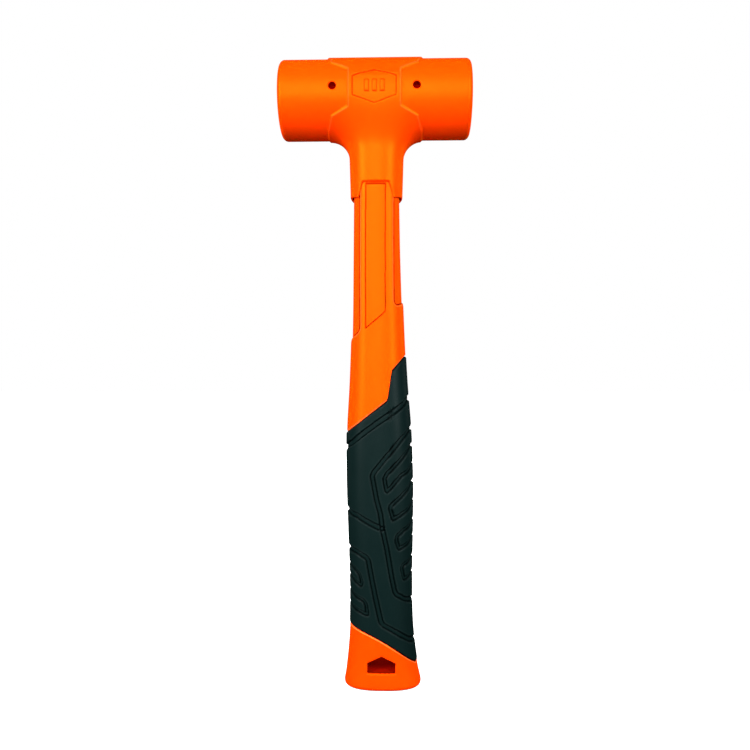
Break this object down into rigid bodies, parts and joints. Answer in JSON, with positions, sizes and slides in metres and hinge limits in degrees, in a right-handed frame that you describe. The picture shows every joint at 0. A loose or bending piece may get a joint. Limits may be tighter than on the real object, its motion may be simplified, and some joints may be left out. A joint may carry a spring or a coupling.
{
  "type": "dead blow mallet",
  "caption": "One-hand dead blow mallet: round moulded head with a shot-filled steel canister, moulded handle with a steel core rod, soft grip sleeve and hang hole.",
  "frame": {"origin": "under the middle of the head, at the underside of the butt", "axes": "+X along the striking axis, +Z from the butt up the handle to the head, -Y out of the face that carries the hexagonal panel with bars"},
  "size_m": [0.09, 0.0386, 0.3],
  "materials": {
    "moulded_cover": "satin moulded polyurethane, orange",
    "soft_grip": "soft matt over-moulded rubber, green black",
    "canister_steel": "drawn tube and pressed caps, bright",
    "core_steel": "cold drawn bar",
    "weld_bead": "heat tinted weld",
    "shot_steel": "polished steel balls",
    "bush_nylon": "natural nylon"
  },
  "bodies": {
    "mallet": {"head_cover": "moulded_cover", "handle_body": "moulded_cover", "grip_sleeve": "soft_grip", "canister_tube": "canister_steel", "canister_cap_left": "canister_steel", "canister_cap_right": "canister_steel", "seam_weld_left": "weld_bead", "seam_weld_right": "weld_bead", "core_socket": "core_steel", "saddle_weld": "weld_bead", "handle_rod": "core_steel", "rod_weld": "weld_bead", "rod_spacer": "bush_nylon", "rod_anchor": "core_steel"},
    "shot_1": {"shot_layer_1": "shot_steel"},
    "shot_2": {"shot_layer_2": "shot_steel"},
    "shot_3": {"shot_layer_3": "shot_steel"},
    "shot_4": {"shot_layer_4": "shot_steel"}
  },
  "joints": [
    {"name": "shot_slide_1", "type": "slide", "parent": "mallet", "child": "shot_1", "axis": [1, 0, 0], "range_m": [-0.0068, 0.0068]},
    {"name": "shot_slide_2", "type": "slide", "parent": "mallet", "child": "shot_2", "axis": [1, 0, 0], "range_m": [-0.0068, 0.0068]},
    {"name": "shot_slide_3", "type": "slide", "parent": "mallet", "child": "shot_3", "axis": [1, 0, 0], "range_m": [-0.0068, 0.0068]},
    {"name": "shot_slide_4", "type": "slide", "parent": "mallet", "child": "shot_4", "axis": [1, 0, 0], "range_m": [-0.0068, 0.0068]}
  ]
}
